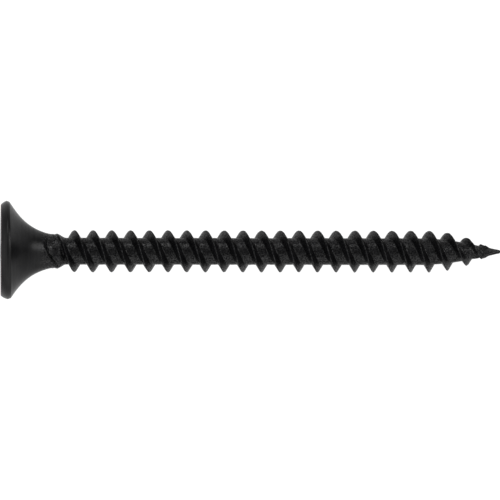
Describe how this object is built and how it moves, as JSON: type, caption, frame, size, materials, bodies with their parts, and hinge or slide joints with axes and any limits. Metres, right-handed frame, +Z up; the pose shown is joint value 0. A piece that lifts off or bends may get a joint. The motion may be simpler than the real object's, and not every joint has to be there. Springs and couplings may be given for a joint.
{
  "type": "bugle-head twin-thread screw",
  "caption": "Steel screw with a bugle head, a cross recess, a sharp point and a fine twin-start right-hand thread along its whole shank, with a dark phosphate finish.",
  "frame": {"origin": "centre of the head's flat top face, on the screw's axis", "axes": "+X along the screw's axis from the head to the point; +Z up as the screw lies on its side; +Y sideways"},
  "size_m": [0.042, 0.0082, 0.0082],
  "materials": {
    "phosphate_steel": "matte black phosphate with an oily sheen, a little lighter on the crests"
  },
  "bodies": {
    "root": {"screw": "phosphate_steel"}
  },
  "joints": []
}
